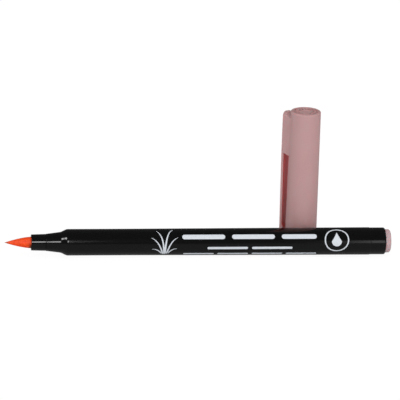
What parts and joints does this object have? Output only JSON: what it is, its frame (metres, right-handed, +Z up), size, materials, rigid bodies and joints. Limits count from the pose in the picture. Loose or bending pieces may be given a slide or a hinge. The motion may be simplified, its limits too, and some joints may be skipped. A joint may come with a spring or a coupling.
{
  "type": "brush pen",
  "caption": "Slim brush pen lying uncapped, with a soft pointed nib, a tapered barrel, and its clip cap stood upright behind it.",
  "frame": {"origin": "on the table, under the middle of the box round the uncapped pen and its standing cap", "axes": "+X along the pen from the nib to the end plug, +Y from the pen towards the cap behind it, +Z up along the cap"},
  "size_m": [0.135, 0.0216, 0.049],
  "materials": {
    "barrel_black": "satin black moulded plastic",
    "ferrule_black": "polished black moulded plastic",
    "pink_plastic": "pale pink moulded plastic, satin",
    "plug_pink": "pale pink moulded plastic, satin",
    "nib_fibre": "soft brush tip soaked in orange ink",
    "core_fibre": "bonded fibre soaked in orange ink",
    "core_film": "thin clear film",
    "liner_plastic": "soft moulded plastic",
    "print_white": "thin raised white pad print"
  },
  "bodies": {
    "pen": {"barrel": "barrel_black", "ferrule": "ferrule_black", "nib_root": "nib_fibre", "reservoir_core": "core_fibre", "reservoir_film": "core_film", "end_plug": "plug_pink"},
    "nib": {"nib_tip": "nib_fibre"},
    "cap": {"cap_shell": "pink_plastic", "cap_liner": "liner_plastic", "clip_root": "pink_plastic"},
    "clip": {"clip_arm": "pink_plastic"}
  },
  "joints": [
    {"name": "cap_lift", "type": "slide", "parent": "pen", "child": "cap", "axis": [0, 0, 1], "range_m": [0, 0.043]},
    {"name": "clip_flex", "type": "hinge", "parent": "cap", "child": "clip", "pos_m": [0.0312, 0.00829, 0.0335], "axis": [0.4848, 0.8746, 0], "range_deg": [0, 4], "stiffness_Nm_per_rad": 1},
    {"name": "nib_flex", "type": "hinge", "parent": "pen", "child": "nib", "pos_m": [-0.0583, -0.006, 0.0048], "axis": [0, 1, 0], "range_deg": [-20, 20], "stiffness_Nm_per_rad": 0.01}
  ]
}
